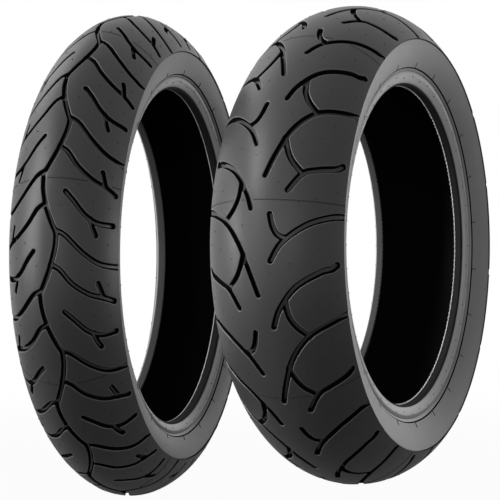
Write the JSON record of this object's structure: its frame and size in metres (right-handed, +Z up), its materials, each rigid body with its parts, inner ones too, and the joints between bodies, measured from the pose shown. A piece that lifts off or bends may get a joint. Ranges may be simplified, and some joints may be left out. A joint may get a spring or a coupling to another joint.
{
  "type": "motorcycle tyre pair",
  "caption": "Front and rear radial motorcycle tyres standing side by side, with directional grooved treads, layered carcasses and open bead bores.",
  "frame": {"origin": "on the ground under the middle of the pair's bounding box", "axes": "+Z up, +Y along the rear tyre's axle towards its left sidewall, +X forward"},
  "size_m": [0.7548, 0.3759, 0.5725],
  "materials": {
    "tread": "matt moulded rubber",
    "tread_base": "matt rubber",
    "belt": "steel cord in rubber",
    "carcass": "rubber-coated cord ply",
    "liner": "smooth dark rubber",
    "sidewall": "satin moulded rubber",
    "filler": "hard rubber",
    "bead": "drawn wire",
    "chafer": "satin moulded rubber"
  },
  "bodies": {
    "root": {"front_tread": "tread", "front_base": "tread_base", "front_belt": "belt", "front_carcass": "carcass", "front_liner": "liner", "front_sidewall_left": "sidewall", "front_sidewall_right": "sidewall", "front_filler_left": "filler", "front_filler_right": "filler", "front_bead_left": "bead", "front_bead_right": "bead", "front_chafer_left": "chafer", "front_chafer_right": "chafer", "rear_tread": "tread", "rear_base": "tread_base", "rear_belt": "belt", "rear_carcass": "carcass", "rear_liner": "liner", "rear_sidewall_left": "sidewall", "rear_sidewall_right": "sidewall", "rear_filler_left": "filler", "rear_filler_right": "filler", "rear_bead_left": "bead", "rear_bead_right": "bead", "rear_chafer_left": "chafer", "rear_chafer_right": "chafer"}
  },
  "joints": []
}
